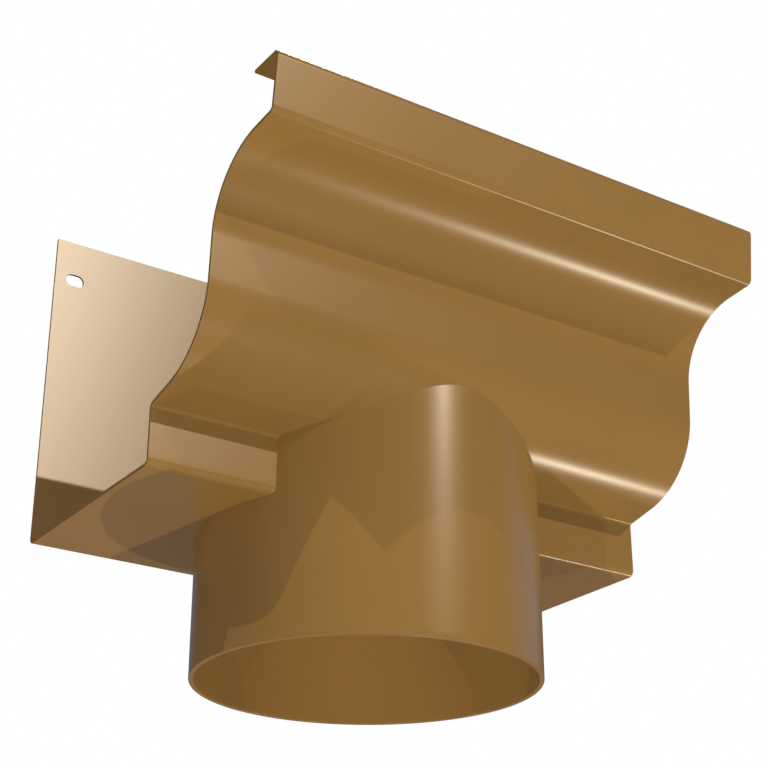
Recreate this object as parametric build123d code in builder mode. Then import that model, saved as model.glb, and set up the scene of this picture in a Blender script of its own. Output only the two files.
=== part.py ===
"""Ogee gutter outlet: a short folded length of ogee gutter with a round spigot joined under it.

Frame, in millimetres: the origin is on the spigot's axis, in the plane of its bottom rim. +X runs along
the gutter, -Y looks out to the front with the ogee, and +Z is up. The back plate goes against a fascia.
"""

import os

from build123d import *

os.makedirs("parts", exist_ok=True)

# Sheet metal
sheet_thickness = 0.9
bend_inside_radius = 1.1
gutter_length = 165.0

# Folded outline, from the back to the front: distances between the sharp corners of the outer face
back_height = 101.5
sole_depth = 76.0
step_height = 16.6
ovolo_reach = 28.3
ovolo_rise = 6.3
ovolo_radius = 25.3
waist_lean = 3.0
waist_height = 49.6
cavetto_radius = 22.0
cavetto_reach = 28.0
cavetto_rise = 2.5
lip_height = 17.8
lip_lean = 2.1
return_width = 12.3

# Round spigot, and the flat of the sole left between it and the back bend
spigot_diameter = 100.0
spigot_wall = 1.4
spigot_drop = 40.5
spigot_to_back_bend = 1.0

# Fixing slots in the back plate, lying along the gutter: one near each end, measured to their centres
slot_width = 4.0
slot_length = 6.0
slot_from_end = 6.6
slot_from_top = 13.1

# Radii that follow from the sheet and the spigot
bend_outside_radius = bend_inside_radius + sheet_thickness
spigot_radius = spigot_diameter / 2
bore_radius = spigot_radius - spigot_wall

# Corners of the fold, from the back plate round to the return at the top of the lip
back_y = spigot_radius + spigot_to_back_bend + bend_outside_radius
sole_z = spigot_drop
back_top_z = sole_z + back_height
step_y = back_y - sole_depth
step_top_z = sole_z + step_height
ovolo_y = step_y - ovolo_reach
ovolo_z = step_top_z + ovolo_rise
waist_y = ovolo_y - waist_lean
waist_z = ovolo_z + waist_height
lip_y = waist_y - cavetto_reach
lip_z = waist_z + cavetto_rise
lip_top_y = lip_y - lip_lean
lip_top_z = lip_z + lip_height
return_edge_y = lip_top_y + return_width

# Outer face of the folded sheet, seen from its end. A bend that turns the outer face outwards has the
# outside radius, and the one where the step meets the ovolo turns it inwards.
with BuildLine() as outer_face:
    FilletPolyline(
        (back_y, back_top_z),
        (back_y, sole_z),
        (step_y, sole_z),
        (step_y, step_top_z),
        (ovolo_y, ovolo_z),
        (waist_y, waist_z),
        (lip_y, lip_z),
        (lip_top_y, lip_top_z),
        (return_edge_y, lip_top_z),
        radius=[
            bend_outside_radius,
            bend_outside_radius,
            bend_inside_radius,
            ovolo_radius,
            cavetto_radius,
            bend_outside_radius,
            bend_outside_radius,
        ],
    )

# Gutter section: one sheet folded and rolled to the ogee, open at both ends and along the top
with BuildPart() as gutter_section:
    with BuildSketch(Plane.YZ) as folded_sheet:
        with BuildLine():
            add(outer_face.line)
            offset(amount=sheet_thickness, side=Side.LEFT)
        make_face()
    extrude(amount=gutter_length / 2, both=True)

    # The spigot's bore goes on up through the sole, the step and the ovolo
    with Locations((0, 0, back_top_z)):
        Hole(radius=bore_radius)

    with BuildSketch(Plane.XZ.offset(-back_y)) as fixing_slots:
        with Locations((0, back_top_z - slot_from_top)):
            with GridLocations(gutter_length - 2 * slot_from_end, 0, 2, 1):
                SlotOverall(slot_length, slot_width)
    extrude(amount=sheet_thickness, mode=Mode.SUBTRACT)

gutter_section.part.label = "gutter_section"
export_step(gutter_section.part, "parts/gutter_section.step")

# Outlet spigot: a round tube, coped to a saddle that lies against the sole, the step and the ovolo
with BuildPart() as outlet_spigot:
    with BuildSketch(Plane.XY) as tube_wall:
        Circle(spigot_radius)
        Circle(bore_radius, mode=Mode.SUBTRACT)
    extrude(amount=lip_z)

    # The cope takes away the whole space that the outer face encloses, carried up past both its edges
    cope_top_z = max(back_top_z, lip_top_z) + sheet_thickness
    with BuildSketch(Plane.YZ) as enclosed_space:
        with BuildLine():
            add(outer_face.line)
            Polyline(
                (return_edge_y, lip_top_z),
                (return_edge_y, cope_top_z),
                (back_y, cope_top_z),
                (back_y, back_top_z),
            )
        make_face()
    extrude(amount=gutter_length / 2, both=True, mode=Mode.SUBTRACT)

outlet_spigot.part.label = "outlet_spigot"
export_step(outlet_spigot.part, "parts/outlet_spigot.step")
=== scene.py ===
"""Ogee gutter outlet: one folded sheet of painted aluminium with a round spigot joined under it.

Everything is in metres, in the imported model's frame: the origin is on the spigot's axis, in the plane of its
bottom rim, +X runs along the gutter, -Y looks out to the front and +Z is up.
"""

import math

import bmesh
import bpy
import numpy as np
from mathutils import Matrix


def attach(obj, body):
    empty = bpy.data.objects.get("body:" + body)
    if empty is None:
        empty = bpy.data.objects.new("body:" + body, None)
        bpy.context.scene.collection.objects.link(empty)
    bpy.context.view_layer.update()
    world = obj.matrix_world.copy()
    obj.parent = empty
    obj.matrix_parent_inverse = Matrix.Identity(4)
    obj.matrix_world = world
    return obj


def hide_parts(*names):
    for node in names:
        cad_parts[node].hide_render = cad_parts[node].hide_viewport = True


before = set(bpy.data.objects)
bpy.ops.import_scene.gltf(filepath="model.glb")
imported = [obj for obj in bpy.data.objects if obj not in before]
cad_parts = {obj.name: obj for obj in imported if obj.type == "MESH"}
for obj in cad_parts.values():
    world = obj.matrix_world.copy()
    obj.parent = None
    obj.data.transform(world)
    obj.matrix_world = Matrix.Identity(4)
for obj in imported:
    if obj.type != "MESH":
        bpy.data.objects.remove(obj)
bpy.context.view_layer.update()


# The gutter section is one sheet of aluminium, folded and rolled from the back plate round to the return at the
# top of the lip. Its ends are sawn square, the spigot's bore is cut up through it, and a slot is punched near
# each end of its back plate for the fixings.

SHEET = 0.0009
LENGTH = 0.165
BORE_RADIUS = 0.0486
FOLD_CORNERS = np.array([
    (0.0530, 0.1420), (0.0530, 0.0405), (-0.0230, 0.0405), (-0.0230, 0.0571), (-0.0513, 0.0634),
    (-0.0543, 0.1130), (-0.0823, 0.1155), (-0.0844, 0.1333), (-0.0721, 0.1333),
])
FOLD_RADII = np.array([0.0020, 0.0020, 0.0011, 0.0253, 0.0220, 0.0020, 0.0020])
SLOT_X, SLOT_Z = 0.0759, 0.1289
SLOT_HALF_RUN, SLOT_RADIUS = 0.0010, 0.0020


def fold_outline(steps=400):
    """The outer face seen from its end: its path (y, z), the outward normals, the run so far, and each bend's
    first and last station on that run.

    Each sharp corner is cut back by r tan(turn / 2) along both its sides. The arc between the cuts is its
    centre plus or minus r times the first side's normal, turned by a growing share of the corner's turn.
    """
    side = np.diff(FOLD_CORNERS, axis=0)
    side /= np.linalg.norm(side, axis=1)[:, None]
    before, after = side[:-1], side[1:]
    turn = np.arctan2(before[:, 0] * after[:, 1] - before[:, 1] * after[:, 0], (before * after).sum(1))
    normal = np.stack([-before[:, 1], before[:, 0]], 1)
    reach = np.sign(turn) * FOLD_RADII
    cut = FOLD_RADII * np.tan(np.abs(turn) / 2)
    centre = FOLD_CORNERS[1:-1] - cut[:, None] * before + reach[:, None] * normal
    angle = turn[:, None] * np.linspace(0, 1, steps)
    cos, sin = np.cos(angle), np.sin(angle)
    outward = np.stack([
        cos * normal[:, :1] - sin * normal[:, 1:],
        sin * normal[:, :1] + cos * normal[:, 1:],
    ], 2)
    arcs = (centre[:, None] - reach[:, None, None] * outward).reshape(-1, 2)
    outward = outward.reshape(-1, 2)
    path = np.concatenate([FOLD_CORNERS[:1], arcs, FOLD_CORNERS[-1:]])
    outward = np.concatenate([outward[:1], outward, outward[-1:]])
    run = np.concatenate([[0], np.cumsum(np.linalg.norm(np.diff(path, axis=0), axis=1))])
    first = 1 + steps * np.arange(len(cut))
    return path, outward, run, run[first], run[first + steps - 1]


fold_path, fold_outward, fold_run, bend_start, bend_end = fold_outline()


def on_fold(stations, depth=0):
    """The (y, z) at each station of the fold's run, sunk by depth under the outer face along its normal."""
    skin = fold_path - depth * fold_outward
    return np.stack([np.interp(stations, fold_run, skin[:, 0]), np.interp(stations, fold_run, skin[:, 1])], 1)


def ovolo_station(y, depth=0):
    """The station in the ovolo at which the skin at that depth stands at y."""
    skin = fold_path - depth * fold_outward
    ovolo = (fold_run >= bend_end[2]) & (fold_run <= bend_end[3])
    return np.interp(-y, -skin[ovolo, 0], fold_run[ovolo])


def stations_between(stops, counts, ways):
    """Stations from stop to stop, with so many steps in each stretch. Where a round hole closes at a stop, the
    steps shrink towards it: with the square of the distance, or with a cosine where both stops close one."""
    parts = [stops[-1:]]
    for low, high, count, way in zip(stops[:-1], stops[1:], counts, ways):
        share = np.arange(count) / count
        share = {"opens": share ** 2, "closes": 1 - (1 - share) ** 2, "both": (1 - np.cos(np.pi * share)) / 2,
                 "even": share}[way]
        parts.insert(-1, low + (high - low) * share)
    return np.concatenate(parts)


BEND_MARGIN = 0.0003
sole_start = bend_end[0]
bore_back = sole_start + on_fold(bend_end[:1])[0, 0] - BORE_RADIUS


def sheet_stations(depth):
    """All the stations of one skin. The bore leaves the two skins at different stations of the ovolo."""
    slot_top = FOLD_CORNERS[0, 1] - SLOT_Z - SLOT_RADIUS
    stretches = [
        (0, 3, "even"), (slot_top, 32, "both"), (slot_top + 2 * SLOT_RADIUS, 5, "even"),
        (bend_start[0] - BEND_MARGIN, 1, "even"), (bend_start[0], 16, "even"), (bend_end[0], 1, "even"),
        (bend_end[0] + BEND_MARGIN, 2, "even"), (bore_back, 64, "opens"),
        (bend_start[1] - BEND_MARGIN, 1, "even"), (bend_start[1], 16, "even"), (bend_end[1], 10, "even"),
        (bend_start[2], 10, "even"), (bend_end[2], 12, "even"), (bend_start[3], 56, "closes"),
        (ovolo_station(-BORE_RADIUS, depth), 36, "even"), (bend_end[3], 2, "even"),
        (bend_start[4], 56, "even"), (bend_end[4], 3, "even"), (bend_start[5] - BEND_MARGIN, 1, "even"),
        (bend_start[5], 16, "even"), (bend_end[5], 1, "even"), (bend_end[5] + BEND_MARGIN, 3, "even"),
        (bend_start[6] - BEND_MARGIN, 1, "even"), (bend_start[6], 16, "even"), (bend_end[6], 1, "even"),
        (bend_end[6] + BEND_MARGIN, 3, "even"),
    ]
    stops = np.array([stop for stop, _, _ in stretches] + [fold_run[-1]])
    return stations_between(stops, [n for _, n, _ in stretches], [way for _, _, way in stretches])


def half_chord(radius, y):
    """Half the chord of a circle about the origin at y, and nothing outside the circle."""
    return np.sqrt(np.maximum(radius ** 2 - y ** 2, 0) * (np.abs(y) < radius - 1e-9))


SHEET_BANDS = [2, 2, 8, 2, 8, 2, 2]


def sheet_skin(depth):
    """One skin as a grid: its rows are stations of the fold, and its columns run along the gutter. The columns
    stand in seven bands, and the middle one and the slots' two open as wide as the cut is at each row."""
    stations = sheet_stations(depth)
    y, z = on_fold(stations, depth).T
    on_plate = stations < bend_start[0]
    bore = half_chord(BORE_RADIUS, y)
    slot = SLOT_HALF_RUN + half_chord(SLOT_RADIUS, z - SLOT_Z) * on_plate
    limits = [-LENGTH / 2 + 0 * y, -SLOT_X - slot, -SLOT_X + slot, -bore, bore, SLOT_X - slot, SLOT_X + slot,
              LENGTH / 2 + 0 * y]
    bands = [low[:, None] + (high - low)[:, None] * np.arange(count) / count
             for low, high, count in zip(limits[:-1], limits[1:], SHEET_BANDS)]
    x = np.concatenate(bands + [limits[-1][:, None]], 1)
    return np.stack(np.broadcast_arrays(x, y[:, None], z[:, None]), 2)


def sheet_cells():
    """Which cells of the grid hold metal: those in the middle band under the bore don't, nor do the slots'."""
    middle = (sheet_stations(0)[:-1] + sheet_stations(0)[1:]) / 2
    band = np.repeat(np.arange(7), SHEET_BANDS)
    in_bore = (middle > bore_back) & (middle < ovolo_station(-BORE_RADIUS))
    slot_middle = FOLD_CORNERS[0, 1] - SLOT_Z
    in_slot = np.abs(middle - slot_middle) < SLOT_RADIUS
    return ~(in_bore[:, None] & (band == 3)) & ~(in_slot[:, None] & np.isin(band, (1, 5)))


def cut_sheet_faces(cells):
    """Quads for two skins of one grid: both skins wherever a cell holds metal, and a wall between the skins
    along every edge with metal on one side only."""
    rows, columns = cells.shape[0] + 1, cells.shape[1] + 1
    point = np.arange(2 * rows * columns).reshape(2, rows, columns)
    skins = np.stack([point[:, :-1, :-1], point[:, :-1, 1:], point[:, 1:, 1:], point[:, 1:, :-1]], 3)
    framed = np.pad(cells, 1)
    edge_rows = framed[:-1, 1:-1] != framed[1:, 1:-1]
    edge_columns = framed[1:-1, :-1] != framed[1:-1, 1:]
    row_walls = np.stack([point[0, :, :-1], point[0, :, 1:], point[1, :, 1:], point[1, :, :-1]], 2)
    column_walls = np.stack([point[0, :-1], point[0, 1:], point[1, 1:], point[1, :-1]], 2)
    return np.concatenate([skins[:, cells].reshape(-1, 4), row_walls[edge_rows], column_walls[edge_columns]])


def closed_piece(name, points, quads, coats):
    """A mesh object at the origin from points and quads, and the number of each quad's coat of paint: points that
    meet are merged, cells that have closed to nothing go, faces point outwards, and only edges turned by more
    than 30 degrees stay sharp."""
    mesh = bpy.data.meshes.new(name)
    mesh.from_pydata(points.reshape(-1, 3).tolist(), [], quads.tolist())
    mesh.polygons.foreach_set("material_index", coats)
    shell = bmesh.new()
    shell.from_mesh(mesh)
    bmesh.ops.remove_doubles(shell, verts=shell.verts, dist=1e-6)
    bmesh.ops.dissolve_degenerate(shell, edges=shell.edges, dist=1e-7)
    bmesh.ops.recalc_face_normals(shell, faces=shell.faces)
    shell.to_mesh(mesh)
    shell.free()
    mesh.shade_smooth()
    mesh.set_sharp_from_angle(angle=math.radians(30))
    piece = bpy.data.objects.new(name, mesh)
    bpy.context.scene.collection.objects.link(piece)
    return piece


cells = sheet_cells()
faces = cut_sheet_faces(cells)
coats = np.repeat([0, 1, 2], [cells.sum(), cells.sum(), len(faces) - 2 * cells.sum()])  # outer, inner, edges
section = closed_piece("ogee_section", np.stack([sheet_skin(0), sheet_skin(SHEET)]), faces, coats)


# The paint is ochre, and the sawn edges are coloured a darker brown than the painted faces.
OCHRE, EDGE_BROWN = (0.30, 0.175, 0.055), (0.23, 0.13, 0.038)


def satin_paint(name, colour, roughness, ior, peel=0.05):
    """Satin paint: its colour drifts by 3% over clouds some 40 mm wide, and it dried with a faint 2 mm peel."""
    material = bpy.data.materials.new(name)
    material.use_nodes = True
    nodes, links = material.node_tree.nodes, material.node_tree.links
    paint = nodes["Principled BSDF"]
    paint.inputs["IOR"].default_value = ior
    paint.inputs["Roughness"].default_value = roughness
    place, cloud, shade, skin, bump = (nodes.new("ShaderNode" + kind) for kind in (
        "TexCoord", "TexNoise", "ValToRGB", "TexNoise", "Bump"))
    cloud.inputs["Scale"].default_value = 26
    cloud.inputs["Detail"].default_value = 2
    for stop, position, level in zip(shade.color_ramp.elements, (0.25, 0.75), (0.97, 1.03)):
        stop.position = position
        stop.color = (*(level * part for part in colour), 1)
    skin.inputs["Scale"].default_value = 520
    skin.inputs["Detail"].default_value = 1
    bump.inputs["Strength"].default_value = peel
    bump.inputs["Distance"].default_value = 0.0001
    links.new(place.outputs["Object"], cloud.inputs["Vector"])
    links.new(place.outputs["Object"], skin.inputs["Vector"])
    links.new(cloud.outputs["Fac"], shade.inputs["Fac"])
    links.new(skin.outputs["Fac"], bump.inputs["Height"])
    links.new(shade.outputs["Color"], paint.inputs["Base Color"])
    links.new(bump.outputs["Normal"], paint.inputs["Normal"])
    return material


# The photograph's inner face is brighter than one coat allows, so its gloss is stronger and drawn out across
# the gutter. Both values were chosen to fit it.
inner_coat = satin_paint("sheet_back", OCHRE, 0.356, 2.0)
inner_paint = inner_coat.node_tree.nodes["Principled BSDF"]
run_of_fold = inner_coat.node_tree.nodes.new("ShaderNodeTangent")
run_of_fold.direction_type = "RADIAL"
run_of_fold.axis = "X"
inner_paint.inputs["Anisotropic"].default_value = 0.67
inner_coat.node_tree.links.new(run_of_fold.outputs[0], inner_paint.inputs["Tangent"])

section.data.materials.append(satin_paint("sheet_face", OCHRE, 0.272, 1.43))
section.data.materials.append(inner_coat)
section.data.materials.append(satin_paint("sawn_edge", EDGE_BROWN, 0.45, 1.45, peel=0.3))
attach(section, "root")
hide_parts("gutter_section")


# The spigot is a round tube of heavier aluminium, joined under the sheet. Its top is coped to a saddle that lies
# against the flat sole, the step and the ovolo, and its bottom edge has the saw's burr just taken off.

SPIGOT_RADIUS = 0.0500
RIM_ROUND = 0.0002


def spigot_stations():
    """The stations of the fold that the saddle lies against, from the tube's back to its front. Inside the
    bore they are the sheet's own, so that the two edges of the bore meet point for point."""
    sheet = sheet_stations(0)
    bore_front = ovolo_station(-BORE_RADIUS)
    shared = sheet[(sheet > bore_back - 1e-9) & (sheet < bore_front + 1e-9)]
    wall = SPIGOT_RADIUS - BORE_RADIUS
    share = np.arange(10) / 10
    behind = bore_back - wall + wall * share ** 2
    front = ovolo_station(-SPIGOT_RADIUS)
    ahead = front + (bore_front - front) * share[::-1] ** 2
    return np.concatenate([behind, shared, ahead])


def grid_quads(rows, columns, first=0):
    """Quads between the points of a grid whose numbers start at first."""
    point = first + np.arange(rows * columns).reshape(rows, columns)
    return np.stack([point[:-1, :-1], point[:-1, 1:], point[1:, 1:], point[1:, :-1]], 2).reshape(-1, 4)


def spigot_grids():
    """The tube's right half as grids of points.

    A column stands at each station, at the point of the circle that has the station's y. The ring below the
    sole carries the rim's profile round those columns. Above the sole each column runs up to its own
    station's height: first through the bend at the foot of the step, then on to the ovolo. The saddle
    joins the two walls' tops.
    """
    stations = spigot_stations()
    y, z = on_fold(stations).T
    standing = (stations <= bend_end[1] + 1e-9) | (stations >= bend_start[2] - 1e-9)
    inner_y = np.clip(y, -BORE_RADIUS, BORE_RADIUS)
    outside = np.stack([half_chord(SPIGOT_RADIUS, y), y], 1) / SPIGOT_RADIUS
    inside = np.stack([half_chord(BORE_RADIUS, inner_y), inner_y], 1) / BORE_RADIUS
    sole_z, bend_z = on_fold(np.array([bend_start[1], bend_end[1]]))[:, 1]

    turn = np.linspace(0, np.pi / 2, 5)
    shaft_z = np.array([sole_z, 0.030, 0.020, 0.010, 0.002])
    outer_rho = np.concatenate([np.full(5, SPIGOT_RADIUS), SPIGOT_RADIUS - RIM_ROUND * (1 - np.cos(turn))])
    inner_rho = np.concatenate([BORE_RADIUS + RIM_ROUND * (1 - np.cos(turn[::-1])), np.full(5, BORE_RADIUS)])
    outer_z = np.concatenate([shaft_z, RIM_ROUND * (1 - np.sin(turn))])
    inner_z = np.concatenate([RIM_ROUND * (1 - np.sin(turn[::-1])), shaft_z[::-1]])

    def stand(rho, heights, way):
        """Points at radius rho along each column's way, at its heights: rows of heights, columns of ways."""
        flat = rho[:, None, None] * way[None]
        return np.concatenate([flat, np.broadcast_to(heights, flat.shape[:2])[..., None]], 2)

    grids = [np.concatenate([stand(outer_rho, outer_z[:, None], outside[standing]),
                             stand(inner_rho, inner_z[:, None], inside[standing])])]
    for radius, way in ((SPIGOT_RADIUS, outside), (BORE_RADIUS, inside)):
        reached = np.abs(y) < radius + 1e-7
        through_bend = standing & reached & (stations >= bend_start[1] - 1e-9)
        above_bend = standing & reached & (stations >= bend_start[2] - 1e-9)
        share = np.linspace(0, 1, 11)[:, None]
        top = np.minimum(z[through_bend], bend_z)
        grids.append(stand(np.full(11, radius), sole_z + (top - sole_z) * share, way[through_bend]))
        top = z[above_bend]
        grids.append(stand(np.full(11, radius), bend_z + (top - bend_z) * share, way[above_bend]))
    saddle_x = np.stack([half_chord(BORE_RADIUS, y), half_chord(SPIGOT_RADIUS, y)])
    grids.append(np.stack(np.broadcast_arrays(saddle_x, y, z), 2))
    return grids


spigot_points, spigot_quads, count = [], [], 0
for grid in spigot_grids():
    for mirror in (1, -1):
        spigot_points.append(grid.reshape(-1, 3) * (mirror, 1, 1))
        spigot_quads.append(grid_quads(*grid.shape[:2], first=count))
        count += grid.shape[0] * grid.shape[1]
spigot_quads = np.concatenate(spigot_quads)
spigot = closed_piece("spigot_tube", np.concatenate(spigot_points), spigot_quads, np.zeros(len(spigot_quads), int))
spigot.data.materials.append(satin_paint("tube_paint", OCHRE, 0.272, 1.43))
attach(spigot, "root")
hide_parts("outlet_spigot")


# The floor is a plain pale sheet that the outlet stands on. The photograph looks up from under it, so the lamps
# below shine through it, and from below the camera sees through it. From above it is paler to the camera than
# the light alone would make it, and it carries the outlet's shadow.

FLOOR_HALF, FLOOR_DROP = 3.0, 0.0004

floor_mesh = bpy.data.meshes.new("floor")
corner = np.array([(-1, -1), (1, -1), (1, 1), (-1, 1)]) * FLOOR_HALF
floor_mesh.from_pydata(np.column_stack([corner, np.full(4, -FLOOR_DROP)]).tolist(), [], [[0, 1, 2, 3]])
floor = bpy.data.objects.new("floor", floor_mesh)
bpy.context.scene.collection.objects.link(floor)
floor.visible_shadow = False
floor.visible_diffuse = False
floor.visible_glossy = False

pale = bpy.data.materials.new("pale_floor")
pale.use_nodes = True
nodes, links = pale.node_tree.nodes, pale.node_tree.links
matt = nodes["Principled BSDF"]
matt.inputs["Base Color"].default_value = (0.80, 0.80, 0.80, 1)
matt.inputs["Roughness"].default_value = 0.9
glow, paler, side, clear, seen = (nodes.new("ShaderNode" + kind) for kind in (
    "Emission", "MixShader", "NewGeometry", "BsdfTransparent", "MixShader"))
glow.inputs["Color"].default_value = (0.96, 0.96, 0.96, 1)
paler.inputs["Fac"].default_value = 0.5
links.new(matt.outputs[0], paler.inputs[1])
links.new(glow.outputs[0], paler.inputs[2])
links.new(side.outputs["Backfacing"], seen.inputs["Fac"])
links.new(paler.outputs[0], seen.inputs[1])
links.new(clear.outputs[0], seen.inputs[2])
links.new(seen.outputs[0], nodes["Material Output"].inputs["Surface"])
floor_mesh.materials.append(pale)


# Six hard, slightly warm lamps stand far off, two above and four below, and cross their shadows on the underside.
# A softer one lights the back. A plain pale room fills in evenly, the paint mirrors a dark one with three cool
# bays, and the background is white to the camera alone.


def sun(name, azimuth, elevation, strength, spread=0.4):
    """A lamp whose light comes from that azimuth (0 in front, 90 at the right) and elevation, in degrees."""
    lamp = bpy.data.lights.new(name, "SUN")
    lamp.energy = strength
    lamp.color = (1, 0.86, 0.66)
    lamp.angle = math.radians(spread)
    holder = bpy.data.objects.new(name, lamp)
    holder.rotation_euler = (math.radians(90 - elevation), 0, math.radians(azimuth))
    bpy.context.scene.collection.objects.link(holder)


sun("key", 19.7, 28.5, 1.06)
sun("high_left", -57.4, 53.2, 0.88)
sun("low_right", 93.1, -52.9, 0.74)
sun("low_front", 9, -38, 1.20)
sun("low_left", -66.3, -38, 0.85)
sun("low_back", -150.3, -53.5, 0.42)
sun("behind", 148, 50, 1.6, spread=12)

world = bpy.data.worlds.new("studio")
bpy.context.scene.world = world
world.use_nodes = True
nodes, links = world.node_tree.nodes, world.node_tree.links
room = nodes["Background"]
room.inputs["Color"].default_value = (1, 1, 1, 1)
room.inputs["Strength"].default_value = 0.27
way, mirrored, white, rays, shown, choice = (nodes.new("ShaderNode" + kind) for kind in (
    "TexCoord", "Background", "Background", "LightPath", "MixShader", "MixShader"))
so_far = None
# The bays stand at the right, right behind and low behind: the way to each one's middle, and its strength.
for middle, strength in (
        ((0.863, 0.076, 0.500), 0.48), ((0.324, 0.803, 0.500), 0.32), ((0.347, 0.860, -0.375), 0.11)):
    towards, bay, add = (nodes.new("ShaderNode" + kind) for kind in ("VectorMath", "MapRange", "Math"))
    towards.operation = "DOT_PRODUCT"
    towards.inputs[1].default_value = middle
    bay.interpolation_type = "SMOOTHSTEP"
    bay.inputs["From Min"].default_value, bay.inputs["From Max"].default_value = 0.88, 0.97
    bay.inputs["To Max"].default_value = strength
    add.inputs[0].default_value = 0.04
    if so_far:
        links.new(so_far, add.inputs[0])
    links.new(way.outputs["Generated"], towards.inputs[0])
    links.new(towards.outputs["Value"], bay.inputs["Value"])
    links.new(bay.outputs["Result"], add.inputs[1])
    so_far = add.outputs[0]
mirrored.inputs["Color"].default_value = (0.35, 0.60, 1, 1)
white.inputs["Color"].default_value = (1, 1, 1, 1)
white.inputs["Strength"].default_value = 1
links.new(so_far, mirrored.inputs["Strength"])
links.new(rays.outputs["Is Glossy Ray"], shown.inputs["Fac"])
links.new(room.outputs[0], shown.inputs[1])
links.new(mirrored.outputs[0], shown.inputs[2])
links.new(rays.outputs["Is Camera Ray"], choice.inputs["Fac"])
links.new(shown.outputs[0], choice.inputs[1])
links.new(white.outputs[0], choice.inputs[2])
links.new(choice.outputs[0], nodes["World Output"].inputs["Surface"])


# The camera stands low in front of the left end and looks up past the spigot's rim, as the photograph does.

camera_data = bpy.data.cameras.new("camera")
camera_data.sensor_width = 36
camera_data.lens = 36 * 1688.92 / 768  # a focal length of 1688.92 pixels on a picture 768 wide
camera_data.clip_start = 0.01
camera = bpy.data.objects.new("camera", camera_data)
camera.location = (-0.256466, -0.391039, -0.121100)
camera.rotation_euler = (math.radians(90 + 24.588), 0, math.radians(-33.863))
bpy.context.scene.collection.objects.link(camera)
bpy.context.scene.camera = camera
bpy.context.scene.view_settings.view_transform = "Standard"
